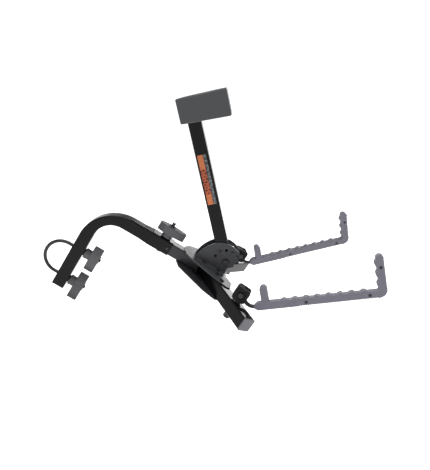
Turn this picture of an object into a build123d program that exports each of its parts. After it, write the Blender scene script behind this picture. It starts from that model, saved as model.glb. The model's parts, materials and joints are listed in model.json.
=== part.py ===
from build123d import *
from math import cos, radians, sin, tan
import os

# Hitch mounted bike rack, in millimetres.
# The vehicle is at -X, the bicycles hang at +X, +Y is the vehicle's right side and +Z is up.
# The origin is the centre of the U-bolt's bend, on the rack's mirror plane.

# Square tube sizes
TUBE = 35.0
WALL = 2.5
CORNER = 3.5
STUB = 34.2
STUB_WALL = 2.5
SOCKET = 38.8               # expanded rear end of the J-bar, which the stub slides in
SOCKET_BORE = 34.6

# Front leg of the J-bar: it stands at FRONT_ANGLE above the horizontal
FRONT_ANGLE = 57.5
FRONT_FACE = 11.4           # centre of the U-bolt's bend to the leg's face
LEG_FOOT = -74.0            # lower end of the leg, measured along it from the same centre
BEND_OUTER = 110.0
BEND_INNER = 55.0

# Stem, gussets and yoke share one plane that falls towards the rear
STEM_SLOPE = 31.5
PIVOT_X = 457.6
PIVOT_Z = -1.5
TUBE_H = -51.9              # height of the tubes' centre plane below the mast pivot
J_BAR_REAR = -146.0
FLARE_FRONT = -236.0
FLARE_REAR = -208.0
STUB_FRONT = -206.0
STUB_REAR = -55.5
PLATE = 3.0

# Yoke legs
YOKE_HALF_ANGLE = 55.7
SWIVEL_S = 54.3
SWIVEL_Y = 142.0
LEG_BEYOND = 66.5
YOKE_OUTER_BEND = 48.0
CAP_FLANGE = 4.0

# U-bolt and T-handle knobs
ROD_R = 4.75
U_SPAN = 95.0
KNOB_LONG = 45.0            # the cross bar is not centred on its stud
KNOB_SHORT = 34.0
KNOB_HUB_R = 15.2
KNOB_HUB_H = 17.0
KNOB_BAR_H = 26.5
STEM_HUB_H = 11.0
STEM_BAR_H = 22.0
KNOB_TIP = 15.5
KNOB_GAP = 2.2              # washer and running gap under a knob
STUD_OUT = 5.0
STEM_STUD_OUT = 13.0
STEM_KNOB_S = -172.0
INSERT_R = 7.0

# Quadrant bracket
QUAD_IN = 19.0
QUAD_FRONT = -79.0
QUAD_REAR = 15.0
FLANGE_BOLTS = (-52.0, -6.0)
LOCK_R = 33.5
LOCK_STEP = 30.0
LOCK_FIRST = 178.5
LOCK_COUNT = 5
PIN_R = 4.0
RUNNING = 0.06
PIN_OFF = 14.75             # the pin's hole, off the mast's axis
PIVOT_BOLT_R = 5.0
FLANGE_Y = 44.0

# Mast and pad
MAST_LEAN = 12.25
MAST_FOOT = 20.0
MAST_TOP = 402.0
PAD_FRONT = -27.5
PAD_REAR = 96.0
PAD_LOW = 381.2
PAD_HIGH = 443.8
PAD_WIDTH = 180.0
PAD_TAPER = 5.5
PAD_RIVET = 391.0

# Arm clamps
BLOCK = 37.0
BLOCK_W = 30.0
BLOCK_H = -9.2
SLOT_W = 11.0
SWIVEL_OUT = 11.0
SWIVEL_BOLT_R = 5.0
CROSS_R = 4.0

# Cradle arms, drawn in their own plane from the fold bolt
ARM_RISE = 42.8
ARM_W = 17.5
ARM_T = 18.0
ARM_LOW = -45.8
ARM_BUTT = 35.4
ARM_END = 343.4
ARM_TOP = 58.0
ARM_ROD_R = 5.0
ROD_DROP = 75.0
ROD_BEND = 22.0
PEG_U = 55.5
PEG_TOP = 15.4
BUMP_FIRST = 101.0
BUMP_PITCH = 27.0
BUMP_COUNT = 8
TOOTH_PITCH = 5.4
TOOTH_R = 2.0
SCREW_R = 2.2
SCREW_U = (154.2, 302.9)
SCREW_V_END = 26.9

os.makedirs("parts", exist_ok=True)

half = TUBE / 2
slope = radians(STEM_SLOPE)
front = radians(FRONT_ANGLE)
along = Vector(cos(slope), 0, -sin(slope))
normal = Vector(sin(slope), 0, cos(slope))
pivot = Vector(PIVOT_X, 0, PIVOT_Z)

# Local frames: x along the tube, y across the rack, z out of the top face
stem = Plane(origin=pivot, x_dir=along, z_dir=normal)
leg = Plane(origin=(0, 0, 0), x_dir=(sin(front), 0, -cos(front)), z_dir=(cos(front), 0, sin(front)))
lean = radians(MAST_LEAN)
mast = Plane(origin=pivot, x_dir=(cos(lean), 0, sin(lean)), z_dir=(-sin(lean), 0, cos(lean)))


def save(name, *solids):
    """Write one node; several solids become one group."""
    shape = solids[0] if len(solids) == 1 else Compound(children=list(solids))
    shape.label = name
    export_step(shape, f"parts/{name}.step")


def place(frame, x, y, z):
    return frame * Pos(x, y, z)


def at(frame, x, y, z):
    """A point given in a frame's own coordinates."""
    return frame.origin + frame.x_dir * x + frame.y_dir * y + frame.z_dir * z


def rod_y(frame, x, z, r, y0, y1):
    """A round bar across the rack, from y0 to y1."""
    return frame * Pos(x, (y0 + y1) / 2, z) * Rot(90, 0, 0) * Cylinder(r, abs(y1 - y0))


def rod_z(frame, x, y, r, z0, z1):
    """A round bar along a frame's z, from z0 to z1."""
    return frame * Pos(x, y, (z0 + z1) / 2) * Cylinder(r, z1 - z0)


def rod_x(frame, y, z, r, x0, x1):
    """A round bar along a frame's x, from x0 to x1."""
    return frame * Pos((x0 + x1) / 2, y, z) * Rot(0, 90, 0) * Cylinder(r, x1 - x0)


def hexagon(r, height):
    """A hexagonal bar on the z = 0 plane, r being half its width across flats."""
    return extrude(RegularPolygon(r, 6, major_radius=False), height)


def square_bar(frame, y, z, size, x0, x1, radius):
    bar = Box(x1 - x0, size, size)
    if radius:
        bar = fillet(bar.edges().filter_by(Axis.X), radius)
    return frame * Pos((x0 + x1) / 2, y, z) * bar


def square_tube(frame, y, z, size, wall, x0, x1, radius):
    outer = square_bar(frame, y, z, size, x0, x1, radius)
    return outer - square_bar(frame, y, z, size - 2 * wall, x0 - 1, x1 + 1, max(radius - wall, 0.5))


def bolt(frame, r, length, head_r, head_h):
    """A hexagon bolt: head below the frame's origin, shank rising along its z."""
    head = frame * Pos(0, 0, -head_h) * hexagon(head_r, head_h)
    return head + frame * Pos(0, 0, length / 2) * Cylinder(r, length)


def ring(frame, r_in, r_out, height):
    """A washer or sleeve standing on the frame's origin."""
    middle = frame * Pos(0, 0, height / 2)
    return middle * Cylinder(r_out, height) - middle * Cylinder(r_in, height + 1)


def nut(frame, r, flat_r, height):
    return frame * hexagon(flat_r, height) - frame * Pos(0, 0, height / 2) * Cylinder(r, height + 1)


def point_on(frame, x, z):
    """A frame's point on the mirror plane, as world X and Z."""
    p = frame.origin + frame.x_dir * x + frame.z_dir * z
    return (p.X, p.Z)


def crossing(frame_a, x_a, frame_b, z_b):
    """Where the line x = x_a of one frame meets the line z = z_b of another, on the mirror plane."""
    ax, az = point_on(frame_a, x_a, 0)
    bx, bz = point_on(frame_b, 0, z_b)
    dx, dz = frame_a.z_dir.X, frame_a.z_dir.Z
    ex, ez = frame_b.x_dir.X, frame_b.x_dir.Z
    k = ((bx - ax) * ez - (bz - az) * ex) / (dx * ez - dz * ex)
    return (ax + k * dx, az + k * dz)


# ---------------------------------------------------------------- J-bar

def elbow(inset, over):
    """Side outline of the J-bar, moved inwards by inset and lengthened by over at both ends."""
    x0, x1 = FRONT_FACE + inset, FRONT_FACE + TUBE - inset
    top, low = TUBE_H + half - inset, TUBE_H - half + inset
    rear = FLARE_FRONT + over
    outer, inner = crossing(leg, x0, stem, top), crossing(leg, x1, stem, low)
    points = [
        point_on(leg, x0, LEG_FOOT - over), outer, point_on(stem, rear, top),
        point_on(stem, rear, low), inner, point_on(leg, x1, LEG_FOOT - over),
    ]
    face = make_face(Polyline(*points, close=True))
    for corner, radius in ((outer, BEND_OUTER - inset), (inner, BEND_INNER + inset)):
        vertex = face.vertices().sort_by_distance(Vector(corner[0], corner[1], 0))[0]
        face = fillet(vertex, radius)
    return face


def elbow_bar(inset, over, width, radius):
    bar = extrude(Plane.XZ * elbow(inset, over), width / 2, both=True)
    rims = bar.edges().filter_by(lambda e: abs(abs(e.center().Y) - width / 2) < 0.01)
    ends = [point_on(leg, FRONT_FACE + half, LEG_FOOT - over), point_on(stem, FLARE_FRONT + over, TUBE_H)]
    far = [e for e in rims if min(abs(e.center().X - x) + abs(e.center().Z - z) for x, z in ends) > 8]
    return fillet(far, radius)


def flare(size_front, size_rear, r_front, r_rear):
    """The tapered length where the tube grows into its socket."""
    faces = []
    for x, size, r in ((FLARE_FRONT, size_front, r_front), (FLARE_REAR, size_rear, r_rear)):
        frame = Plane(origin=at(stem, x, 0, TUBE_H), x_dir=(0, 1, 0), z_dir=along)
        faces.append(frame * RectangleRounded(size, size, r))
    return loft(faces)


inner_size = TUBE - 2 * WALL
outside = elbow_bar(0, 0, TUBE, CORNER) + flare(TUBE, SOCKET, CORNER, 4.0)
outside += square_bar(stem, 0, TUBE_H, SOCKET, FLARE_REAR, J_BAR_REAR, 4.0)
inside = elbow_bar(WALL, 0.01, inner_size, 1.0) + flare(inner_size, SOCKET_BORE, 1.0, 3.0)
inside += square_bar(stem, 0, TUBE_H, SOCKET_BORE, FLARE_REAR, J_BAR_REAR + 2, 3.0)
j_bar = outside - inside
leg_mid = FRONT_FACE + half
for t in (-U_SPAN / 2, U_SPAN / 2):
    j_bar -= rod_x(leg, 0, t, ROD_R + 0.4, FRONT_FACE - 5, FRONT_FACE + TUBE + 5)
stem_knob_frame = place(stem, STEM_KNOB_S, 0, 0)
j_bar -= rod_z(stem_knob_frame, 0, 0, ROD_R + 0.4, TUBE_H - TUBE, TUBE_H + TUBE)
SIDE_SCREW_S = J_BAR_REAR - 9.0
j_bar -= rod_y(stem, SIDE_SCREW_S, TUBE_H, 2.6, -TUBE, TUBE)
save("j_bar", j_bar)

leg_end = Plane(origin=at(leg, leg_mid, 0, LEG_FOOT), x_dir=leg.z_dir, z_dir=leg.x_dir)
plug_head = square_bar(leg_end, 0, 0, TUBE - 0.5, -1.8, 0, 1.2)
plug_body = square_bar(leg_end, 0, 0, inner_size - 0.3, 0, 14.0, 1.0)
save("j_bar_end_plug", plug_head + plug_body)

# ---------------------------------------------------------------- U-bolt and knobs

knob_face = FRONT_FACE + TUBE
stud_end = knob_face + KNOB_GAP + KNOB_HUB_H + KNOB_BAR_H + STUD_OUT
reach = U_SPAN / 2
u_path = (
    Line((stud_end, -reach), (0, -reach))
    + ThreePointArc((0, -reach), (-reach, 0), (0, reach))
    + Line((0, reach), (stud_end, reach))
)
u_plane = Plane(origin=leg.origin, x_dir=leg.x_dir, z_dir=-leg.y_dir)
u_wire = u_plane * u_path
u_start = Plane(origin=u_wire @ 0, z_dir=u_wire % 0)
u_bolt = sweep(u_start * Circle(ROD_R), path=u_wire)
save("u_bolt", u_bolt)


def knob_frame(base, x, z, axis, across):
    """Frame with its z along a stud and its x along the knob's cross bar."""
    origin = base.origin + base.x_dir * x + base.z_dir * z
    return Plane(origin=origin, x_dir=across, z_dir=axis)


def t_knob(frame, turn, hub_h, bar_h):
    """A T-handle: round hub, waisted cross bar, bored for its threaded insert."""
    frame = frame * Rot(0, 0, turn)
    tip, belly = KNOB_TIP / 2, KNOB_HUB_R + 0.5
    shoulder = KNOB_HUB_R * 0.55
    side = [
        (-KNOB_SHORT, -tip), (-shoulder, -belly), (shoulder, -belly), (KNOB_LONG, -tip),
        (KNOB_LONG, tip), (shoulder, belly), (-shoulder, belly), (-KNOB_SHORT, tip),
    ]
    bar = extrude(make_face(Polyline(*side, close=True)), bar_h)
    bar = fillet(bar.edges().filter_by(Axis.Z), 3.0)
    bar = fillet(bar.edges().group_by(Axis.Z)[-1], 1.5)
    hub = Pos(0, 0, -hub_h / 2) * Cylinder(KNOB_HUB_R, hub_h)
    crown = Pos(0, 0, bar_h + 0.8) * Cylinder(KNOB_HUB_R - 4, 1.6)
    bore = Cylinder(INSERT_R, 200)
    return frame * Pos(0, 0, hub_h) * (bar + hub + crown - bore)


stem_top = TUBE_H + half
socket_top = TUBE_H + SOCKET / 2
socket_low = TUBE_H - SOCKET / 2
upper_knob = knob_frame(leg, knob_face + KNOB_GAP, U_SPAN / 2, leg.x_dir, leg.z_dir)
lower_knob = knob_frame(leg, knob_face + KNOB_GAP, -U_SPAN / 2, leg.x_dir, leg.z_dir)
stem_knob = knob_frame(stem, STEM_KNOB_S, socket_top + KNOB_GAP, normal, along)
for name, frame, turn, hub_h, bar_h in (
    ("clamp_knob_upper", upper_knob, 188, KNOB_HUB_H, KNOB_BAR_H),
    ("clamp_knob_lower", lower_knob, 160, KNOB_HUB_H, KNOB_BAR_H),
    ("stem_knob", stem_knob, 0, STEM_HUB_H, STEM_BAR_H),
):
    save(name, t_knob(frame, turn, hub_h, bar_h))
    save(name + "_insert", ring(frame, ROD_R + RUNNING, INSERT_R - 0.02, hub_h + bar_h))

washer_t = 1.6
leg_washers = []
for t in (-reach, reach):
    seat = knob_frame(leg, knob_face, t, leg.x_dir, leg.z_dir)
    leg_washers.append(ring(seat, ROD_R + 0.3, 10.5, washer_t))
save("u_bolt_washers", *leg_washers)
stem_seat = knob_frame(stem, STEM_KNOB_S, socket_top, normal, along)
save("stem_knob_washer", ring(stem_seat, ROD_R + 0.3, 10.5, washer_t))

STEM_HEAD = 5.5
stem_low = knob_frame(stem, STEM_KNOB_S, socket_low, normal, along)
stem_bolt_length = SOCKET + KNOB_GAP + STEM_HUB_H + STEM_BAR_H + STEM_STUD_OUT
save("stem_knob_bolt", bolt(stem_low, ROD_R, stem_bolt_length, 6.5, STEM_HEAD))

# ---------------------------------------------------------------- stub and gussets

stub = square_tube(stem, 0, TUBE_H, STUB, STUB_WALL, STUB_FRONT, STUB_REAR, 3.0)
stub -= rod_z(stem_knob_frame, 0, 0, ROD_R + 0.4, TUBE_H - TUBE, TUBE_H + TUBE)
stub -= rod_y(stem, SIDE_SCREW_S, TUBE_H, 2.6, -TUBE, TUBE)
save("stub_tube", stub)

socket_side = SOCKET / 2
rivet = rod_y(stem, SIDE_SCREW_S, TUBE_H, 2.4, -socket_side, socket_side)
rivet += rod_y(stem, SIDE_SCREW_S, TUBE_H, 4.2, -socket_side - 2.2, -socket_side)
rivet += rod_y(stem, SIDE_SCREW_S, TUBE_H, 4.2, socket_side, socket_side + 2.2)
save("stub_rivet", rivet)


def plate(side, h0, radius):
    """A delta-shaped plate from half its outline: a blunt nose at the stem, spreading to the yoke's legs."""
    points = side + [(s, -y) for s, y in reversed(side)]
    body = extrude(make_face(Polyline(*points, close=True)), PLATE)
    return stem * Pos(0, 0, h0) * fillet(body.edges().filter_by(Axis.Z), radius)


LOWER_EDGE = TUBE_H - half
upper_half = [(-113, 14), (-101, 36), (-68.6, 55.4), (-32, 73), (21.5, 98), (35, 92), (37, 58), (20, 34)]
lower_half = [(-117, 14), (-106, 42), (-66, 72), (-26, 101), (10, 115), (24, 108)]
upper_plate = plate(upper_half, stem_top, 5.0)
lower_plate = plate(lower_half, LOWER_EDGE - PLATE, 6.0)

yoke_angle = radians(YOKE_HALF_ANGLE)
apex_s = SWIVEL_S - SWIVEL_Y / tan(yoke_angle)
leg_length = SWIVEL_Y / sin(yoke_angle) + LEG_BEYOND


def yoke_outline(inset, over):
    """Plan of the bent yoke tube: a V with a rounded apex, in the stem frame."""
    d = (cos(yoke_angle), sin(yoke_angle))
    n = (sin(yoke_angle), -cos(yoke_angle))
    w = half - inset
    reach_out = leg_length + over
    tip_out = (apex_s - w / sin(yoke_angle), 0)
    tip_in = (apex_s + w / sin(yoke_angle), 0)
    end_in = (apex_s + d[0] * reach_out + n[0] * w, d[1] * reach_out + n[1] * w)
    end_out = (apex_s + d[0] * reach_out - n[0] * w, d[1] * reach_out - n[1] * w)
    points = [tip_out, end_out, end_in, tip_in, (end_in[0], -end_in[1]), (end_out[0], -end_out[1])]
    face = make_face(Polyline(*points, close=True))
    for corner, radius in ((tip_out, YOKE_OUTER_BEND - inset), (tip_in, YOKE_OUTER_BEND - TUBE + inset)):
        vertex = face.vertices().sort_by_distance(Vector(corner[0], 0, 0))[0]
        face = fillet(vertex, radius)
    return face


def yoke_bar(inset, over, radius):
    height = TUBE - 2 * inset
    bar = extrude(yoke_outline(inset, over), height / 2, both=True)
    tip_y = leg_length * sin(yoke_angle) - 12
    flat = bar.edges().filter_by(lambda e: abs(abs(e.center().Z) - height / 2) < 0.01)
    rims = [e for e in flat if abs(e.center().Y) < tip_y]
    return stem * Pos(0, 0, TUBE_H) * fillet(rims, radius)


yoke = yoke_bar(0, 0, CORNER) - yoke_bar(WALL, 2, 1.0)
sleeve_r = 7.5
swivel_axes = [place(stem, SWIVEL_S, side * SWIVEL_Y, 0) for side in (-1, 1)]
for axis in swivel_axes:
    yoke -= rod_z(axis, 0, 0, sleeve_r + 0.05, LOWER_EDGE - 2, stem_top + 2)

# Bolts that clamp the plates on the yoke, two on each leg
GUSSET_BOLT_R = 3.0
gusset_spots = []
for out in (64.0, 91.0):
    for side in (-1, 1):
        gusset_spots.append((apex_s + cos(yoke_angle) * out, side * sin(yoke_angle) * out))
for s, y in gusset_spots:
    hole = rod_z(stem, s, y, GUSSET_BOLT_R + 0.3, LOWER_EDGE - 20, stem_top + 20)
    yoke -= hole
    upper_plate -= hole
    lower_plate -= hole
save("yoke_tube", yoke)

top_face = stem_top + PLATE
bottom_face = LOWER_EDGE - PLATE
grip = top_face - bottom_face
gusset_bolts, gusset_nuts = [], []
for s, y in gusset_spots:
    down = Plane(origin=at(stem, s, y, top_face), x_dir=along, z_dir=-normal)
    gusset_bolts.append(bolt(down, GUSSET_BOLT_R, grip + 8, 5.0, 4.0))
    low = Plane(origin=at(stem, s, y, bottom_face), x_dir=along, z_dir=-normal)
    gusset_nuts.append(nut(low, GUSSET_BOLT_R, 5.0, 5.0))
save("gusset_bolts", *gusset_bolts)
save("gusset_nuts", *gusset_nuts)

# ---------------------------------------------------------------- yoke sleeves and end caps

for side, word in ((-1, "left"), (1, "right")):
    sleeve = ring(place(stem, SWIVEL_S, side * SWIVEL_Y, LOWER_EDGE), SWIVEL_BOLT_R + RUNNING, sleeve_r, TUBE)
    save(f"swivel_sleeve_{word}", sleeve)
    end_dir = along * cos(yoke_angle) + Vector(0, side * sin(yoke_angle), 0)
    end = stem.origin + along * apex_s + end_dir * leg_length + normal * TUBE_H
    cap_frame = Plane(origin=end, x_dir=end_dir, z_dir=normal)
    cap = square_bar(cap_frame, 0, 0, TUBE - 0.3, 0, CAP_FLANGE, 2.0)
    cap += square_bar(cap_frame, 0, 0, inner_size - 0.3, -16, 0, 1.0)
    save(f"yoke_end_cap_{word}", cap)

# ---------------------------------------------------------------- quadrant bracket

quad_low = top_face
lock_holes = []
for i in range(LOCK_COUNT):
    a = radians(LOCK_FIRST - LOCK_STEP * i)
    lock_holes.append((LOCK_R * cos(a), LOCK_R * sin(a)))


def quadrant(side):
    """A folded plate: an upright sector with the lock holes and a flange bolted to the upper gusset."""
    outline = (
        ThreePointArc((QUAD_FRONT, quad_low), (-71.0, 2.0), (-45.5, 37.5))
        + ThreePointArc((-45.5, 37.5), (-21.0, 47.5), (6.8, 44.7))
        + ThreePointArc((6.8, 44.7), (18.5, 40.0), (24.0, 30.0))
        + ThreePointArc((24.0, 30.0), (25.0, 10.0), (12.4, -14.0))
        + Line((12.4, -14.0), (QUAD_REAR, quad_low))
        + Line((QUAD_REAR, quad_low), (QUAD_FRONT, quad_low))
    )
    side_plane = Plane(origin=stem.origin, x_dir=along, z_dir=along.cross(normal))
    upright = extrude(side_plane * make_face(outline), PLATE)
    shift = side * QUAD_IN if side > 0 else side * (QUAD_IN + PLATE)
    upright = Pos(0, shift, 0) * Pos(0, PLATE, 0) * upright
    flange = Box(QUAD_REAR - QUAD_FRONT - 6, FLANGE_Y - QUAD_IN, PLATE)
    flange = fillet(flange.edges().filter_by(Axis.Z), 5)
    middle = side * (QUAD_IN + FLANGE_Y) / 2
    flange = place(stem, (QUAD_REAR + QUAD_FRONT) / 2, middle, quad_low + PLATE / 2) * flange
    body = upright + flange
    for s, h in lock_holes:
        body -= rod_y(stem, s, h, PIN_R + RUNNING, -60, 60)
    body -= rod_y(stem, 0, 0, PIVOT_BOLT_R + 0.1, -60, 60)
    for s in FLANGE_BOLTS:
        body -= rod_z(stem, s, side * 33.0, GUSSET_BOLT_R + 0.3, quad_low - 5, quad_low + 10)
    return body


for side, word in ((-1, "left"), (1, "right")):
    save(f"quadrant_plate_{word}", quadrant(side))
flange_spots = [(s, side * 33.0) for s in FLANGE_BOLTS for side in (-1, 1)]
for s, y in flange_spots:
    upper_plate -= rod_z(stem, s, y, GUSSET_BOLT_R + 0.3, stem_top - 5, top_face + 5)
save("upper_gusset_plate", upper_plate)
save("lower_gusset_plate", lower_plate)

flange_top = quad_low + PLATE
flange_screws = []
for s, y in flange_spots:
    down = Plane(origin=at(stem, s, y, flange_top), x_dir=along, z_dir=-normal)
    flange_screws.append(bolt(down, GUSSET_BOLT_R, 2 * PLATE, 5.0, 4.0))
save("bracket_screws", *flange_screws)

# ---------------------------------------------------------------- mast pivot and stop pin

quad_out = QUAD_IN + PLATE
head_plane = Plane(origin=stem.origin + Vector(0, -quad_out - 1.6, 0), x_dir=along, z_dir=(0, 1, 0))
save("pivot_bolt", bolt(head_plane, PIVOT_BOLT_R, 2 * quad_out + 1.6 + 11, 8.0, 6.4))
near_washer = ring(head_plane, PIVOT_BOLT_R + 0.3, 10.0, 1.6)
far_face = Plane(origin=stem.origin + Vector(0, quad_out, 0), x_dir=along, z_dir=(0, 1, 0))
far_washer = ring(far_face, PIVOT_BOLT_R + 0.3, 10.0, 1.6)
save("pivot_washers", near_washer, far_washer)
nut_plane = Plane(origin=far_face.origin + Vector(0, 1.6, 0), x_dir=along, z_dir=(0, 1, 0))
save("pivot_nut", nut(nut_plane, PIVOT_BOLT_R, 8.0, 8.0))

pin_s, pin_h = lock_holes[1]
pin_end = quad_out + 13.0
pin = rod_y(stem, pin_s, pin_h, PIN_R, -quad_out - 5, pin_end)
pin += rod_y(stem, pin_s, pin_h, 7.0, quad_out + 0.3, quad_out + 3.3)
eye_at = at(stem, pin_s, 0, pin_h) + Vector(0, pin_end - 4.5, 0)
pin -= Plane(origin=eye_at, x_dir=(0, 1, 0), z_dir=along) * Cylinder(2.3, 30)
save("lock_pin", pin)
RING_R = 12.0
ring_plane = Plane(origin=eye_at - normal * (RING_R - 0.4), x_dir=along, z_dir=(0, 1, 0))
save("lock_pin_ring", ring_plane * Torus(RING_R, 1.2))

# ---------------------------------------------------------------- mast and pad

mast_up = Plane(origin=mast.origin, x_dir=mast.z_dir, z_dir=-mast.x_dir)
mast_tube = square_tube(mast_up, 0, 0, TUBE, WALL, -MAST_FOOT, MAST_TOP, CORNER)
BUSH_R = 7.5
mast_tube -= rod_y(mast, 0, 0, BUSH_R + 0.05, -40, 40)
mast_tube -= rod_y(mast, 0, PAD_RIVET, 2.6, -40, 40)
# The lock pin sits at the blind end of an arc slot, so it stops the mast from leaning further forward
pin_r = PIN_R + RUNNING
slot_ring = Cylinder(LOCK_R + pin_r, 60) - Cylinder(LOCK_R - pin_r, 60)
slot_corner = (-100, 100 / tan(radians(PIN_OFF)))
slot_sector = extrude(make_face(Polyline((0, 0), slot_corner, (-100, 0), close=True)), 30, both=True)
slot_cut = slot_ring & slot_sector
for off in (-PIN_OFF, PIN_OFF):
    mast_tube -= rod_y(mast, LOCK_R * sin(radians(off)), LOCK_R * cos(radians(off)), pin_r, -40, 40)
mast_tube -= mast * Rot(90, 0, 0) * slot_cut
save("mast_tube", mast_tube)
save("mast_bush", rod_y(mast, 0, 0, BUSH_R, -half, half) - rod_y(mast, 0, 0, PIVOT_BOLT_R + RUNNING, -40, 40))
spacers = [
    rod_y(mast, 0, 0, 13.0, side * half, side * (half + 1.2)) - rod_y(mast, 0, 0, PIVOT_BOLT_R + 0.4, -40, 40)
    for side in (-1, 1)
]
save("mast_spacer_washers", *spacers)

core = square_bar(mast_up, 0, 0, inner_size - 0.3, MAST_TOP - 30, MAST_TOP, 1.0)
cross_w = PAD_WIDTH - 40
core += mast * Pos(0, 0, MAST_TOP + 6) * Box(inner_size, cross_w, 12)
core -= rod_y(mast, 0, PAD_RIVET, 2.6, -20, 20)
save("pad_core", core)
pad_screw = rod_y(mast, 0, PAD_RIVET, 2.4, -half, half)
pad_screw += rod_y(mast, 0, PAD_RIVET, 4.5, -half - 2.5, -half)
pad_screw += rod_y(mast, 0, PAD_RIVET, 4.5, half, half + 2.5)
save("pad_core_rivet", pad_screw)

pad_side = [
    (PAD_FRONT, PAD_LOW + PAD_TAPER / 2), (PAD_REAR, PAD_LOW - PAD_TAPER / 2),
    (PAD_REAR, PAD_HIGH), (PAD_FRONT, PAD_HIGH),
]
pad_plane = Plane(origin=mast.origin, x_dir=mast.x_dir, z_dir=mast.x_dir.cross(mast.z_dir))
pad = extrude(pad_plane * make_face(Polyline(*pad_side, close=True)), PAD_WIDTH / 2, both=True)
pad = fillet(pad.edges(), 4.0)
pocket = MAST_TOP - PAD_LOW + 10
pad -= mast_up * Pos(MAST_TOP - pocket / 2, 0, 0) * Box(pocket, TUBE + 0.4, TUBE + 0.4)
pad -= mast * Pos(0, 0, MAST_TOP + 6) * Box(inner_size + 0.4, cross_w + 0.4, 12.2)
pad -= rod_y(mast, 0, PAD_RIVET, 5.0, -half - 3, half + 3)
save("pad", pad)

# ---------------------------------------------------------------- arm clamps and cradle arms


def arm_outline():
    """Side view of a cradle arm: bar, peg, upturned end, tube rests and grip teeth."""
    t = ARM_T
    top = ARM_LOW + t
    nose = ARM_BUTT - 9
    bar = [
        (ARM_BUTT, ARM_LOW), (ARM_END, ARM_LOW), (ARM_END, ARM_TOP - t / 2), (ARM_END - t, ARM_TOP - t / 2),
        (ARM_END - t, top), (ARM_BUTT, top + 1.5), (nose, ARM_LOW + t / 2 + 4), (nose, ARM_LOW + t / 2 - 3),
    ]
    face = make_face(Polyline(*bar, close=True))
    outer = face.vertices().sort_by_distance(Vector(ARM_END, ARM_LOW, 0))[0]
    face = fillet(outer, 20.0)
    inner = face.vertices().sort_by_distance(Vector(ARM_END - t, top, 0))[0]
    face = fillet(inner, 6.0)
    face += Pos(ARM_END - t / 2, ARM_TOP - t / 2) * Circle(t / 2)
    peg_low, peg_high = top - 6, PEG_TOP - t / 2
    face += Pos(PEG_U, (peg_low + peg_high) / 2) * Rectangle(t, peg_high - peg_low)
    face += Pos(PEG_U, peg_high) * Circle(t / 2)
    bump_r, bump_h = 10.0, 4.0
    upper_strip = Pos(ARM_END / 2, top) * Rectangle(ARM_END, t)
    for i in range(BUMP_COUNT):
        face += Pos(BUMP_FIRST + BUMP_PITCH * i, top + bump_h - bump_r) * Circle(bump_r) & upper_strip
    inner_strip = Pos(ARM_END - t, 0) * Rectangle(t, 2 * ARM_TOP)
    for v in (-13.3, 12.2, 37.7):
        face += Pos(ARM_END - t - bump_h + bump_r, v) * Circle(bump_r) & inner_strip
    for i in range(34):
        face -= Pos(140.0 + TOOTH_PITCH * i, ARM_LOW - 0.3) * Circle(TOOTH_R)
    for i in range(13):
        face -= Pos(ARM_END + 0.3, -20.0 + TOOTH_PITCH * i) * Circle(TOOTH_R)
    return face


axis_v = ARM_LOW + ARM_T / 2
drop = radians(ROD_DROP)
corner_u = -axis_v / tan(drop)
rod_points = [(0, 0), (corner_u, axis_v), (ARM_END - ARM_T / 2, axis_v), (ARM_END - ARM_T / 2, ARM_TOP - 18)]
rod_line = FilletPolyline(*rod_points, radius=[ROD_BEND, 14.0])


def sweep_rod(radius):
    start = Plane(origin=rod_line @ 0, z_dir=rod_line % 0)
    return sweep(start * Circle(radius), path=rod_line)


arm_face = arm_outline()
screw_spots = [(u, axis_v - 0.5) for u in SCREW_U] + [(ARM_END - ARM_T / 2, SCREW_V_END)]
arm_rod = sweep_rod(ARM_ROD_R) + Cylinder(9.5, 2 * ARM_ROD_R + 0.4)
arm_rod -= Cylinder(CROSS_R + RUNNING, 40)
for u, v in screw_spots:
    arm_rod -= Pos(u, v, 0) * Cylinder(SCREW_R + 0.1, 40)
channel = sweep_rod(ARM_ROD_R + 0.15)
shell_front = extrude(arm_face, ARM_W / 2) - channel
shell_back = extrude(arm_face, -ARM_W / 2) - channel
for u, v in screw_spots:
    hole = Pos(u, v, 0) * Cylinder(SCREW_R + 0.1, 40)
    shell_front -= hole
    shell_back -= hole
    shell_front -= Pos(u, v, ARM_W / 2 - 1.25) * Cylinder(4.1, 2.6)

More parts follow.
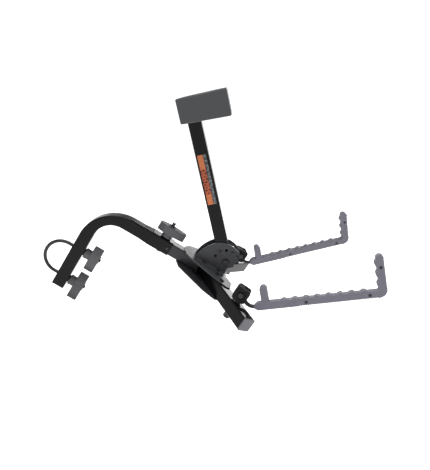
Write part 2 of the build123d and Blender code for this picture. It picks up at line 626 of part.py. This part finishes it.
for side, word in ((-1, "left"), (1, "right")):
    yaw = radians(SWIVEL_OUT) * side
    heading = along * cos(yaw) + Vector(0, sin(yaw), 0)
    centre = stem.origin + along * SWIVEL_S + Vector(0, side * SWIVEL_Y, 0) + normal * BLOCK_H
    clamp = Plane(origin=centre, x_dir=heading, z_dir=normal)
    rise = radians(ARM_RISE)
    arm_u = heading * cos(rise) + normal * sin(rise)
    arm_v = normal * cos(rise) - heading * sin(rise)
    arm = Plane(origin=centre, x_dir=arm_u, z_dir=arm_v)

    # Clamp block: a clevis for the rod's eye, screwed on its foot
    block = Box(BLOCK, BLOCK_W, BLOCK)
    block = fillet(block.edges().filter_by(Axis.Y), 8.0)
    block = fillet(block.edges().filter_by(lambda e: abs(abs(e.center().Y) - BLOCK_W / 2) < 0.01), 1.2)
    slot = Pos(BLOCK / 2, 0, 4) * Box(BLOCK + 2, SLOT_W, BLOCK + 8) + Rot(90, 0, 0) * Cylinder(10.2, SLOT_W)
    heel = Pos(-3.5, 0, -BLOCK / 2 + 2.9) * Box(19, SLOT_W + 1, 5.8)
    block -= slot - heel
    block -= rod_y(Plane.XY, 0, 0, CROSS_R + 0.1, -30, 30)
    block -= Pos(0, 0, -BLOCK / 2 + 3) * Cylinder(SWIVEL_BOLT_R + 0.02, 8)
    for out in (-1, 1):
        block -= rod_y(Plane.XY, 0, 0, 9.5, out * (BLOCK_W / 2 - 1.5), out * (BLOCK_W / 2 + 2))
    save(f"clamp_block_{word}", clamp * block)

    foot_h = BLOCK_H - BLOCK / 2 - stem_top
    foot_base = Plane(origin=centre - normal * (BLOCK / 2 + foot_h), x_dir=heading, z_dir=normal)
    gap = 0.3
    foot = Pos(0, 0, gap + (foot_h - gap) / 2) * Box(22, 22, foot_h - gap)
    foot = fillet(foot.edges().filter_by(Axis.Z), 5.0) - Cylinder(SWIVEL_BOLT_R + 0.2, 80)
    save(f"clamp_foot_{word}", foot_base * foot)

    bolt_low = Plane(origin=centre + normal * (LOWER_EDGE - BLOCK_H - 2.3), x_dir=heading, z_dir=normal)
    swivel_length = 2.3 + TUBE + foot_h + 5.0
    save(f"swivel_bolt_{word}", bolt(bolt_low, SWIVEL_BOLT_R, swivel_length, 8.0, 13.0))
    save(f"swivel_washer_{word}", ring(bolt_low, SWIVEL_BOLT_R + 0.3, 11.0, 2.0))

    outer_seat = BLOCK_W / 2 - 1.5
    inward = clamp.y_dir * -side
    cross_plane = Plane(origin=centre - inward * outer_seat, x_dir=heading, z_dir=inward)
    cross_bolt = bolt(cross_plane, CROSS_R, 2 * outer_seat + 7.5, 6.5, 5.3)
    save(f"fold_bolt_{word}", cross_bolt)
    nut_at = Plane(origin=centre + inward * outer_seat, x_dir=heading, z_dir=inward)
    save(f"fold_nut_{word}", nut(nut_at, CROSS_R, 6.5, 6.5))

    stand = arm * Rot(90, 0, 0)
    save(f"arm_rod_{word}", stand * arm_rod)
    save(f"arm_shell_front_{word}", stand * shell_front)
    save(f"arm_shell_back_{word}", stand * shell_back)
    screws = []
    for u, v in screw_spots:
        shank = Pos(u, v, 0) * Cylinder(SCREW_R, ARM_W - 2)
        head = Pos(u, v, ARM_W / 2 - 1.3) * Cylinder(3.9, 2.4)
        screws.append(stand * (shank + head))
    save(f"arm_screws_{word}", *screws)
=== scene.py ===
import json
from math import cos, pi, radians, sin

import bmesh
import bpy
from mathutils import Matrix, Vector


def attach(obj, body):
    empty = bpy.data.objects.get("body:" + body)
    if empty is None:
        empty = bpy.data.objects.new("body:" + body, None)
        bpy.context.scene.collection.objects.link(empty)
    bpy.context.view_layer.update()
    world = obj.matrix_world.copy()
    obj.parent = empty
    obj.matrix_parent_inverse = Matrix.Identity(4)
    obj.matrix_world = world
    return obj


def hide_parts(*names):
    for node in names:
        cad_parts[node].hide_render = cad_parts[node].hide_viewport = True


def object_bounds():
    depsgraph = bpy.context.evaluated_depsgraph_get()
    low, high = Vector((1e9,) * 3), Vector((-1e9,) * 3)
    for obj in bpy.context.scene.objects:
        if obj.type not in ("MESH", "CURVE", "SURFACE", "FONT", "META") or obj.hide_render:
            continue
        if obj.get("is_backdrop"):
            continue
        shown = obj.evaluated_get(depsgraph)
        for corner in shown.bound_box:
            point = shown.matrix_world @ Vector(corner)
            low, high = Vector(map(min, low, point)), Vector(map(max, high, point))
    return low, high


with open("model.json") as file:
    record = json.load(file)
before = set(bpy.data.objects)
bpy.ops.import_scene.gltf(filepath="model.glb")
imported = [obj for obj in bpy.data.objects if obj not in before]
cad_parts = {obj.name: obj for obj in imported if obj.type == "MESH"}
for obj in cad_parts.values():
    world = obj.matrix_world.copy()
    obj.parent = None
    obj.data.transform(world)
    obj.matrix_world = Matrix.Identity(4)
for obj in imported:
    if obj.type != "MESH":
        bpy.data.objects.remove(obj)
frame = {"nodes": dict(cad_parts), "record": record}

NODES = frame["nodes"]
RECORD = frame["record"]
JOINTS = {j["name"]: j for j in RECORD["behaviour"]["joints"]}
MOUNTS = {m["name"]: m for m in RECORD["mounts"]}


def plain(value):
    if isinstance(value, dict):
        return {str(k): plain(v) for k, v in value.items()}
    if hasattr(value, "__len__") and not isinstance(value, str):
        return [plain(v) for v in value]
    return value if isinstance(value, str) else float(value)


SIZE = {"before": plain(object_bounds())}

# ------------------------------------------------------------------ materials


class Shader:
    """One procedural finish: a Principled shader and short helpers for the nodes that feed it."""

    def __init__(self, name):
        self.material = bpy.data.materials.new(name)
        self.material.use_nodes = True
        self.tree = self.material.node_tree
        self.tree.nodes.clear()
        self.out = self.tree.nodes.new("ShaderNodeOutputMaterial")
        self.bsdf = self.tree.nodes.new("ShaderNodeBsdfPrincipled")
        self.link(self.bsdf.outputs[0], self.out.inputs[0])
        self.place = self.tree.nodes.new("ShaderNodeTexCoord").outputs["Object"]

    def link(self, source, target):
        self.tree.links.new(source, target)

    def set(self, node, **values):
        """Links or sets inputs by name; an underscore stands for a space."""
        for key, value in values.items():
            socket = node.inputs[key.replace("_", " ")]
            if isinstance(value, bpy.types.NodeSocket):
                self.link(value, socket)
            else:
                socket.default_value = value

    def noise(self, scale, detail=4.0, rough=0.55, stretch=(1, 1, 1)):
        mapping = self.tree.nodes.new("ShaderNodeMapping")
        self.link(self.place, mapping.inputs["Vector"])
        mapping.inputs["Scale"].default_value = stretch
        node = self.tree.nodes.new("ShaderNodeTexNoise")
        self.link(mapping.outputs[0], node.inputs["Vector"])
        self.set(node, Scale=scale, Detail=detail, Roughness=rough)
        return node.outputs[0]

    def cells(self, scale):
        node = self.tree.nodes.new("ShaderNodeTexVoronoi")
        self.link(self.place, node.inputs["Vector"])
        self.set(node, Scale=scale)
        return node.outputs["Distance"]

    def spread(self, value, low, high, start=0.3, end=0.7):
        """Maps start..end to low..high; the default takes the middle of a noise's range."""
        node = self.tree.nodes.new("ShaderNodeMapRange")
        self.link(value, node.inputs["Value"])
        for key, v in (("From Min", start), ("From Max", end), ("To Min", low), ("To Max", high)):
            node.inputs[key].default_value = v
        return node.outputs[0]

    def arithmetic(self, operation, a, b=0.0):
        node = self.tree.nodes.new("ShaderNodeMath")
        node.operation = operation
        for socket, value in ((node.inputs[0], a), (node.inputs[1], b)):
            if isinstance(value, bpy.types.NodeSocket):
                self.link(value, socket)
            else:
                socket.default_value = value
        return node.outputs[0]

    def mix(self, factor, a, b):
        node = self.tree.nodes.new("ShaderNodeMix")
        node.data_type = "RGBA"
        if isinstance(factor, float):
            node.inputs[0].default_value = factor
        else:
            self.link(factor, node.inputs[0])
        for socket, value in ((node.inputs[6], a), (node.inputs[7], b)):
            if isinstance(value, bpy.types.NodeSocket):
                self.link(value, socket)
            else:
                socket.default_value = (*value, 1.0)
        return node.outputs[2]

    def bump(self, height, strength, distance, under=None):
        """A bumped normal, laid over another one if under is given."""
        node = self.tree.nodes.new("ShaderNodeBump")
        self.link(height, node.inputs["Height"])
        self.set(node, Strength=strength, Distance=distance)
        if under is not None:
            self.link(under, node.inputs["Normal"])
        return node.outputs[0]

    def bevel(self, radius):
        """A normal that rounds the sharp edges by radius, in metres."""
        node = self.tree.nodes.new("ShaderNodeBevel")
        node.samples = 6
        node.inputs["Radius"].default_value = radius
        return node.outputs[0]


def shade(colour, k):
    return tuple(c * k for c in colour)


def powder_coat(name, colour, rough, specular, peel):
    """Baked paint: a slight orange peel, faint mottling, dust specks and softened edges."""
    s = Shader(name)
    mottle = s.noise(22.0, 5.0)
    specks = s.spread(s.noise(900.0, 2.0), 0.0, 1.0, 0.62, 0.74)
    base = s.mix(s.spread(mottle, 0.0, 1.0), shade(colour, 0.86), shade(colour, 1.16))
    base = s.mix(s.spread(specks, 0.0, 0.22, 0.0, 1.0), base, shade(colour, 1.7))
    smear = s.noise(9.0, 6.0, 0.65, (1, 1, 2.5))
    skin = s.bump(s.noise(420.0, 2.0), peel, 0.0004, s.bevel(0.0006))
    s.set(s.bsdf, Base_Color=base, Roughness=s.spread(smear, rough * 0.8, rough * 1.25), Normal=skin)
    s.bsdf.inputs["Specular IOR Level"].default_value = specular
    return s.material


def plated(name, colour, rough, metal=1.0):
    """Plated or blackened hardware: fine turning marks, spotty tone."""
    s = Shader(name)
    spots = s.noise(160.0, 6.0, 0.6)
    base = s.mix(s.spread(spots, 0.0, 1.0), shade(colour, 0.75), shade(colour, 1.15))
    turning = s.bump(s.noise(700.0, 3.0, 0.5, (1, 6, 1)), 0.18, 0.0003, s.bevel(0.0005))
    polish = s.spread(spots, rough * 0.75, rough * 1.3)
    s.set(s.bsdf, Base_Color=base, Metallic=metal, Roughness=polish, Normal=turning)
    return s.material


def moulded(name, colour, rough, grain, grain_size, specular, tint=(1.0, 1.0, 1.0), edge=0.0007):
    """Moulded plastic: a grained skin, slow flow marks and slightly polished patches."""
    s = Shader(name)
    flow = s.noise(14.0, 5.0, 0.6)
    grit = s.noise(grain_size, 3.0, 0.6)
    cool = tuple(c * t for c, t in zip(colour, tint))
    base = s.mix(s.spread(flow, 0.0, 1.0), shade(colour, 0.9), shade(cool, 1.12))
    base = s.mix(s.spread(grit, 0.0, 0.35), base, shade(colour, 0.7))
    pits = s.bump(grit, grain, 0.0004, s.bevel(edge))
    s.set(s.bsdf, Base_Color=base, Roughness=s.spread(flow, rough * 0.88, rough * 1.12), Normal=pits)
    s.bsdf.inputs["Specular IOR Level"].default_value = specular
    return s.material


def foam_skin(name, colour):
    """A foam block's moulded skin: tiny closed cells, a soft sheen and faint dents."""
    s = Shader(name)
    dents = s.noise(18.0, 4.0, 0.5)
    cells = s.cells(1500.0)
    grit = s.noise(1100.0, 3.0, 0.7)
    base = s.mix(s.spread(dents, 0.0, 1.0), shade(colour, 0.93), shade(colour, 1.08))
    base = s.mix(s.spread(cells, 0.0, 0.4, 0.1, 0.6), base, shade(colour, 0.72))
    fine = s.bump(grit, 0.3, 0.0003)
    pores = s.bump(cells, 0.25, 0.0003, fine)
    skin = s.bump(dents, 0.12, 0.002, pores)
    s.set(s.bsdf, Base_Color=base, Roughness=s.spread(dents, 0.62, 0.8), Normal=skin)
    s.bsdf.inputs["Specular IOR Level"].default_value = 0.3
    s.bsdf.inputs["Sheen Weight"].default_value = 0.15
    return s.material


black_tube = powder_coat("black_tube", (0.0030, 0.0030, 0.0035), 0.15, 0.16, 0.05)
grey_frame = powder_coat("grey_frame", (0.044, 0.045, 0.050), 0.33, 0.22, 0.06)
# A darker copy of the grey frame paint: painted shade for the grey parts that lie in shade under the upper
# gusset plate
grey_frame_shaded = powder_coat("grey_frame_shaded", (0.024, 0.024, 0.027), 0.28, 0.3, 0.05)
zinc = plated("zinc_hardware", (0.36, 0.36, 0.38), 0.36)
black_oxide = plated("black_hardware", (0.016, 0.016, 0.018), 0.34, 0.2)
brass = plated("brass_insert", (0.42, 0.30, 0.14), 0.38)
knob_plastic = moulded("knob_plastic", (0.078, 0.077, 0.082), 0.55, 0.35, 700.0, 0.3)
cap_plastic = moulded("cap_plastic", (0.125, 0.125, 0.138), 0.5, 0.3, 800.0, 0.3)
arm_plastic = moulded("arm_plastic", (0.155, 0.149, 0.174), 0.55, 0.35, 650.0, 0.25, (0.97, 0.97, 1.06))
block_plastic = moulded("block_plastic", (0.017, 0.017, 0.018), 0.6, 0.12, 500.0, 0.05, edge=0.0026)
# Near-black hardware, darker than the black hardware finish: painted shade for the recesses and holes that
# the heads, washers and pin sit in
screw_recess_shade = plated("screw_recess_shade", (0.006, 0.006, 0.007), 0.4, 0.1)
pad_skin = foam_skin("pad_rubber", (0.054, 0.056, 0.060))

# The finish of each material slot in the part's record
SLOT_MATERIAL = {
    "black_tube": black_tube, "grey_frame": grey_frame, "zinc_hardware": zinc, "black_hardware": black_oxide,
    "brass_insert": brass, "knob_plastic": knob_plastic, "cap_plastic": cap_plastic,
    "arm_plastic": arm_plastic, "block_plastic": block_plastic, "pad_rubber": pad_skin,
}


def paint(obj, material):
    obj.data.materials.clear()
    obj.data.materials.append(material)


for part in RECORD["subparts"]:
    paint(NODES[part["node"]], SLOT_MATERIAL[part["material_slot"]])

# Parts painted darker than the rest of their slot, as painted shade: grey frame parts that lie in shade
# under the upper gusset plate, and hardware darkened to stand in for dark recesses and holes
GREY_SHADED_NODES = ("stub_tube", "lower_gusset_plate")
# Painted shade: hardware darkened to stand in for its dark recesses and holes
RECESS_SHADE_NODES = (
    "arm_screws_left", "arm_screws_right", "fold_bolt_left", "fold_bolt_right", "swivel_bolt_left",
    "swivel_bolt_right", "stub_rivet", "pivot_washers", "lock_pin",
)
for node in GREY_SHADED_NODES:
    paint(NODES[node], grey_frame_shaded)
for node in RECESS_SHADE_NODES:
    paint(NODES[node], screw_recess_shade)

# ------------------------------------------------------------------ pieces built here


def points_of(node):
    """A CAD node's vertices; CAD meshes are drawn in the shared frame."""
    return [v.co.copy() for v in NODES[node].data.vertices]


def finish_mesh(name, grid, matrix, material, smooth=True, own_frame=False):
    """A piece from a bmesh drawn in the frame of matrix; own_frame keeps that frame as the object's own."""
    mesh = bpy.data.meshes.new(name)
    if not own_frame:
        bmesh.ops.transform(grid, matrix=matrix, verts=grid.verts)
    bmesh.ops.recalc_face_normals(grid, faces=grid.faces)
    grid.to_mesh(mesh)
    grid.free()
    for face in mesh.polygons:
        face.use_smooth = smooth
    obj = bpy.data.objects.new(name, mesh)
    bpy.context.scene.collection.objects.link(obj)
    if own_frame:
        obj.matrix_world = matrix
    mesh.materials.append(material)
    return obj


def axes_frame(origin, x_dir, y_dir, z_dir):
    columns = Matrix((x_dir, y_dir, z_dir)).transposed().to_4x4()
    return Matrix.Translation(origin) @ columns


def add_bevel(obj, width):
    bevel = obj.modifiers.new("bevel", "BEVEL")
    bevel.width = width
    bevel.segments = 2
    bevel.limit_method = "ANGLE"
    bevel.angle_limit = radians(35)
    bevel.harden_normals = True


# The mast's own frame: x is the rearward normal, z runs up the mast
pivot = Vector(JOINTS["mast_fold"]["pos_m"])
mast_x = -Vector(MOUNTS["pad_face"]["axis"]).normalized()
mast_y = Vector((0, 1, 0))
mast_z = mast_x.cross(mast_y)
mast_frame = axes_frame(pivot, mast_x, mast_y, mast_z)
to_mast = mast_frame.inverted()


PAD_EDGE_RADIUS = 0.0045
PAD_CROWN = 0.0009
PAD_CUTS = 29
EDGE_CROWDING = 2.1         # draws the grid lines together towards the block's edges
CROWN_POWER = 5


def foam_block(x_range, y_range, low_edge, top):
    """A block with rounded edges and slightly crowned faces.

    low_edge is the z of its lower face at the low and the high end of x_range.
    """
    grid = bmesh.new()
    bmesh.ops.create_cube(grid, size=2.0)
    bmesh.ops.subdivide_edges(grid, edges=grid.edges[:], cuts=PAD_CUTS, use_grid_fill=True)
    tall = (top - low_edge[0]) / 2
    half = Vector(((x_range[1] - x_range[0]) / 2, (y_range[1] - y_range[0]) / 2, tall))
    centre_x, centre_y = (x_range[1] + x_range[0]) / 2, (y_range[1] + y_range[0]) / 2
    core = [h - PAD_EDGE_RADIUS for h in half]
    for v in grid.verts:
        sign = [1 if c > 0 else -1 for c in v.co]
        t = [k * (1 - (1 - min(abs(c), 1)) ** EDGE_CROWDING) for k, c in zip(sign, v.co)]
        q = Vector([t[i] * half[i] for i in range(3)])
        inner = Vector([max(-core[i], min(core[i], q[i])) for i in range(3)])
        out = q - inner
        p = inner + out.normalized() * PAD_EDGE_RADIUS if out.length > 1e-9 else q
        flat = [1 - abs(c) ** CROWN_POWER for c in t]
        for i in range(3):
            if abs(t[i]) > 0.999:
                p[i] -= sign[i] * PAD_CROWN * (1 - flat[(i + 1) % 3] * flat[(i + 2) % 3])
        x = p.x + centre_x
        share = (x - x_range[0]) / (x_range[1] - x_range[0])
        floor_z = low_edge[0] + (low_edge[1] - low_edge[0]) * share
        z = floor_z + (p.z + tall) / (2 * tall) * (top - floor_z)
        v.co = Vector((x, p.y + centre_y, z))
    return grid


pad_points = [to_mast @ p for p in points_of("pad")]
pad_x = (min(p.x for p in pad_points), max(p.x for p in pad_points))
pad_y = (min(p.y for p in pad_points), max(p.y for p in pad_points))
pad_top = max(p.z for p in pad_points)
END_ZONE = 0.010
low_front = min(p.z for p in pad_points if p.x < pad_x[0] + END_ZONE)
low_rear = min(p.z for p in pad_points if p.x > pad_x[1] - END_ZONE)
block = foam_block(pad_x, pad_y, (low_front, low_rear), pad_top)
pad = finish_mesh("pad_block", block, mast_frame, pad_skin)
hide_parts("pad")
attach(pad, "mast")


# The sticker on the mast's near face, in the mast's frame
LABEL_X = (-0.0125, 0.0105)
LABEL_Z = (0.1645, 0.2965)
LABEL_PROUD = 0.00022
LABEL_SUNK = 0.0001
LABEL_SPLIT = 0.0025        # the orange band ends and the grey one starts here
MARKS_Z = (0.192, 0.260)


def label_finish(name):
    """A generic sticker: an orange band with rows of dark blocks and a mottled grey band; no writing."""
    s = Shader(name)
    split = s.tree.nodes.new("ShaderNodeSeparateXYZ")
    s.link(s.place, split.inputs[0])
    across, up = split.outputs["X"], split.outputs["Z"]
    worn = s.noise(240.0, 5.0, 0.6)
    orange = s.mix(s.spread(worn, 0.0, 1.0), (0.40, 0.105, 0.034), (0.56, 0.185, 0.07))

    # Rows of small blocks, broken up by a blotchy print
    upright = s.tree.nodes.new("ShaderNodeMapping")
    s.link(s.place, upright.inputs["Vector"])
    upright.inputs["Rotation"].default_value = (radians(90), 0, 0)
    rows = s.tree.nodes.new("ShaderNodeTexBrick")
    s.link(upright.outputs[0], rows.inputs["Vector"])
    s.set(rows, Color1=(0.0, 0.0, 0.0, 1), Color2=(0.5, 0.5, 0.5, 1), Mortar=(1, 1, 1, 1), Scale=1.0)
    s.set(rows, Mortar_Size=0.0013, Mortar_Smooth=0.1, Brick_Width=0.0082, Row_Height=0.0074)
    blots = s.spread(s.noise(190.0, 3.0), 0.0, 1.0, 0.46, 0.52)
    inked = s.arithmetic("MULTIPLY", s.spread(rows.outputs["Color"], 1.0, 0.0, 0.42, 0.6), blots)
    marks = s.mix(inked, (0.40, 0.085, 0.035), (0.020, 0.008, 0.007))
    above = s.spread(up, 0.0, 1.0, MARKS_Z[0] - 0.002, MARKS_Z[0] + 0.002)
    below = s.spread(up, 1.0, 0.0, MARKS_Z[1] - 0.002, MARKS_Z[1] + 0.002)
    orange = s.mix(s.arithmetic("MULTIPLY", above, below), orange, marks)

    mottle = s.spread(s.noise(170.0, 3.0), 0.0, 1.0, 0.44, 0.56)
    grey = s.mix(mottle, (0.035, 0.045, 0.045), (0.17, 0.165, 0.18))
    band = s.spread(across, 0.0, 1.0, LABEL_SPLIT - 0.0003, LABEL_SPLIT + 0.0003)
    base = s.mix(band, orange, grey)
    from_split = s.arithmetic("ABSOLUTE", s.arithmetic("SUBTRACT", across, LABEL_SPLIT))
    gap = s.spread(from_split, 1.0, 0.0, 0.0004, 0.0009)
    base = s.mix(gap, base, (0.012, 0.010, 0.010))
    s.set(s.bsdf, Base_Color=base, Roughness=s.spread(worn, 0.35, 0.5), Normal=s.bump(worn, 0.1, 0.0002))
    s.bsdf.inputs["Specular IOR Level"].default_value = 0.25
    return s.material


def slab(*ranges):
    """A box between the given x, y and z ranges, with a few cuts in each face."""
    grid = bmesh.new()
    bmesh.ops.create_cube(grid, size=1.0)
    for v in grid.verts:
        v.co = Vector([r[0] + (c + 0.5) * (r[1] - r[0]) for r, c in zip(ranges, v.co)])
    bmesh.ops.subdivide_edges(grid, edges=grid.edges[:], cuts=6, use_grid_fill=True)
    return grid


near_face = min((to_mast @ p).y for p in points_of("mast_tube"))
label_box = slab(LABEL_X, (near_face - LABEL_PROUD, near_face + LABEL_SUNK), LABEL_Z)
sticker = label_finish("label")
label = finish_mesh("mast_label", label_box, mast_frame, sticker, smooth=False, own_frame=True)
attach(label, "mast")


KNOB_TIP_ZONE = 0.004       # points this near the longest reach belong to the long arm's tip
GRIP_GROOVES = 3
GROOVE_DEEP = 0.0009
GROOVE_PITCH = 0.0042
GROOVE_FIRST = 0.0046       # from the arm's tip to the first groove
GROOVE_HALF = 0.00075
GROOVE_FLOOR_HALF = 0.0003
TIP_CHAMFER = ((0.0006, 0.0022), (0.0, 0.0045))     # along and across the arm, from its square corner
BAR_ROUNDING = 0.0009
HUB_INSET = 0.0006
INSERT_R = 0.00705
CROWN_STEP = 0.0036
KNOB_SEGMENTS = 48


def knob_layout(node, joint):
    """A knob's frame and heights, read from its CAD solid: z out along the stud, x along the long arm."""
    axis = Vector(joint["axis"]).normalized()
    origin = Vector(joint["pos_m"])
    points = points_of(node)
    rise = [(p - origin).dot(axis) for p in points]
    reach = [((p - origin) - axis * h).length for p, h in zip(points, rise)]
    longest = max(reach)
    tips = [(p, h) for p, h, r in zip(points, rise, reach) if r > longest - KNOB_TIP_ZONE]
    x_dir = (sum((p - origin - axis * h for p, h in tips), Vector()) / len(tips)).normalized()
    base, top = min(rise), max(rise)
    bar_low = min(h for p, h in tips)
    bar_high = max(h for p, h in tips)
    matrix = axes_frame(origin + axis * base, x_dir, axis.cross(x_dir), axis)
    local = [matrix.inverted() @ p for p in points]
    return matrix, local, bar_low - base, bar_high - base, top - base


def join_loops(grid, a, b):
    """A band of quads between two closed loops of vertices."""
    n = len(a)
    for i in range(n):
        grid.faces.new((a[i], a[(i + 1) % n], b[(i + 1) % n], b[i]))


def turned(profile):
    """A ring-shaped solid, turned about z from a closed profile of (radius, height) pairs."""
    grid = bmesh.new()
    angles = [2 * pi * i / KNOB_SEGMENTS for i in range(KNOB_SEGMENTS)]
    rings = [[grid.verts.new((r * cos(a), r * sin(a), h)) for a in angles] for r, h in profile]
    for a, b in zip(rings, rings[1:]):
        join_loops(grid, a, b)
    join_loops(grid, rings[-1], rings[0])
    return grid


def bar_outline(long_arm, short_arm, tip, belly):
    """The cross bar's outline: a wide middle, tapered arms, and grip grooves near both tips."""
    shoulder = belly * 0.5

    def side_y(x):
        arm = long_arm if x > 0 else short_arm
        t = max(0.0, (abs(x) - shoulder) / (arm - shoulder))
        return belly + (tip - belly) * t

    cuts = [(-shoulder, 0.0), (shoulder, 0.0)]
    for sign, arm in ((-1, short_arm), (1, long_arm)):
        cuts.append((sign * (arm - TIP_CHAMFER[0][1]), 0.0))
        for k in range(GRIP_GROOVES):
            c = sign * (arm - GROOVE_FIRST - GROOVE_PITCH * k)
            cuts += [(c - GROOVE_HALF, 0.0), (c + GROOVE_HALF, 0.0)]
            cuts += [(c - GROOVE_FLOOR_HALF, GROOVE_DEEP), (c + GROOVE_FLOOR_HALF, GROOVE_DEEP)]
    upper = [(x, side_y(x) - cut) for x, cut in sorted(cuts)]
    long_end = [(long_arm - dx, tip - dy) for dx, dy in TIP_CHAMFER]
    long_end += [(x, -y) for x, y in reversed(long_end)]
    short_end = [(-short_arm + dx, -tip + dy) for dx, dy in TIP_CHAMFER]
    short_end += [(x, -y) for x, y in reversed(short_end)]
    return upper + long_end + [(x, -y) for x, y in reversed(upper)] + short_end


def knob_bar(outline, bar_low, bar_high):
    """The cross bar, drawn in slightly at its lower and upper edges."""
    grid = bmesh.new()
    centre_x = (max(x for x, y in outline) + min(x for x, y in outline)) / 2
    levels = ((bar_low, 0.965), (bar_low + BAR_ROUNDING, 1.0), (bar_high - 1.6 * BAR_ROUNDING, 1.0),
              (bar_high - 0.4 * BAR_ROUNDING, 0.975), (bar_high, 0.93))
    layers = []
    for h, across in levels:
        along = 1 - (1 - across) * 0.45
        drawn_in = [(centre_x + (x - centre_x) * along, y * across) for x, y in outline]
        layers.append([grid.verts.new((x, y, h)) for x, y in drawn_in])
    for a, b in zip(layers, layers[1:]):
        join_loops(grid, a, b)
    grid.faces.new(layers[0][::-1])
    grid.faces.new(layers[-1])
    return grid


def knob_piece(node, joint_name, body):
    """A T-shaped hand knob in three pieces: the cross bar, the hub below it and the crown above it."""
    matrix, local, bar_low, bar_high, top = knob_layout(node, JOINTS[joint_name])
    long_arm = max(p.x for p in local)
    short_arm = -min(p.x for p in local)
    tip = max(abs(p.y) for p in local if p.x > long_arm - 0.003)
    belly = max(abs(p.y) for p in local if bar_low + 0.002 < p.z < bar_high)

    bar_grid = knob_bar(bar_outline(long_arm, short_arm, tip, belly), bar_low, bar_high)
    bar = finish_mesh(node + "_bar", bar_grid, matrix, knob_plastic, smooth=False)

    hub_r = belly - HUB_INSET
    waist_r = hub_r - 0.0007
    hub_top = bar_low + 0.001
    hub_grid = turned([
        (INSERT_R, 0.0), (hub_r - 0.0008, 0.0), (hub_r, 0.0009), (hub_r, bar_low * 0.38),
        (waist_r, bar_low * 0.42), (waist_r, hub_top), (INSERT_R, hub_top),
    ])
    hub = finish_mesh(node + "_hub", hub_grid, matrix, knob_plastic)
    add_bevel(hub, 0.0004)

    crown_r = hub_r - CROWN_STEP
    crown_low = bar_high - 0.002
    crown_grid = turned([
        (INSERT_R, crown_low), (crown_r, crown_low), (crown_r, top - 0.0006), (crown_r - 0.0007, top),
        (INSERT_R + 0.0006, top), (INSERT_R, top - 0.0006),
    ])
    crown = finish_mesh(node + "_crown", crown_grid, matrix, knob_plastic)

    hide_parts(node)
    for obj in (bar, hub, crown):
        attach(obj, body)


knob_piece("clamp_knob_upper", "knob_upper_turn", "knob_upper")
knob_piece("clamp_knob_lower", "knob_lower_turn", "knob_lower")
knob_piece("stem_knob", "knob_stem_turn", "knob_stem")

# ------------------------------------------------------------------ stage, light and camera

FLOOR_SIZE = 60.0
FLOOR_DROP = 0.42           # the rack hangs above the floor, as it would on a vehicle

low, high = [Vector(v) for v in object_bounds()]
middle = (low + high) / 2

paper = moulded("studio_paper", (0.93, 0.93, 0.93), 0.9, 0.02, 60.0, 0.1)
paper_shader = paper.node_tree.nodes["Principled BSDF"]
paper_shader.inputs["Emission Color"].default_value = (1, 1, 1, 1)
paper_shader.inputs["Emission Strength"].default_value = 0.8
floor_grid = bmesh.new()
bmesh.ops.create_grid(floor_grid, x_segments=1, y_segments=1, size=FLOOR_SIZE / 2)
floor_frame = Matrix.Translation((middle.x, middle.y, low.z - FLOOR_DROP))
floor = finish_mesh("studio_floor", floor_grid, floor_frame, paper, smooth=False, own_frame=True)
floor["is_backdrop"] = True


def area_light(name, offset, size, power):
    """A soft rectangular light, offset from the rack's middle and aimed at it."""
    data = bpy.data.lights.new(name, "AREA")
    data.shape = "RECTANGLE"
    data.size, data.size_y = size
    data.energy = power
    obj = bpy.data.objects.new(name, data)
    bpy.context.scene.collection.objects.link(obj)
    obj.location = middle + Vector(offset)
    obj.rotation_euler = (middle - obj.location).to_track_quat("-Z", "Y").to_euler()
    obj.visible_camera = False


area_light("overhead", (-0.2, -0.5, 2.4), (2.6, 2.0), 62)
area_light("rear_softbox", (0.9, 3.2, 0.50), (4.2, 0.7), 46)

# The studio's walls: bright up to a little above the horizon, dim higher up, and a soft glow overhead
SKY_STOPS = ((0.0, 1.0), (0.17, 1.0), (0.30, 0.16), (0.75, 0.2), (1.0, 0.75))
SKY_STRENGTH = 1.15

world = bpy.data.worlds.new("studio")
bpy.context.scene.world = world
world.use_nodes = True
sky = world.node_tree
height = sky.nodes.new("ShaderNodeSeparateXYZ")
sky.links.new(sky.nodes.new("ShaderNodeTexCoord").outputs["Generated"], height.inputs[0])
ramp = sky.nodes.new("ShaderNodeValToRGB")
sky.links.new(height.outputs["Z"], ramp.inputs[0])
for stop, value in SKY_STOPS[1:-1]:
    ramp.color_ramp.elements.new(stop)
for step, (stop, value) in zip(ramp.color_ramp.elements, SKY_STOPS):
    step.color = (value, value, value, 1)
sky.links.new(ramp.outputs[0], sky.nodes["Background"].inputs[0])
sky.nodes["Background"].inputs[1].default_value = SKY_STRENGTH

# The camera: a long side view, turned slightly and looking down on the rack
CAMERA_SPOT = (0.46725, -1.20106, 0.4628)
CAMERA_AZIMUTH = radians(1.884)
CAMERA_ELEVATION = radians(18.152)
CAMERA_LENS = 35.62

camera_data = bpy.data.cameras.new("camera")
camera_data.lens = CAMERA_LENS
camera_data.sensor_width = 36
camera_data.clip_end = 100
camera = bpy.data.objects.new("camera", camera_data)
bpy.context.scene.collection.objects.link(camera)
camera.location = CAMERA_SPOT
level = cos(CAMERA_ELEVATION)
look = Vector((-sin(CAMERA_AZIMUTH) * level, cos(CAMERA_AZIMUTH) * level, -sin(CAMERA_ELEVATION)))
camera.rotation_euler = look.to_track_quat("-Z", "Y").to_euler()
bpy.context.scene.camera = camera
bpy.context.scene.view_settings.view_transform = "Standard"

SIZE["after"] = plain(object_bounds())
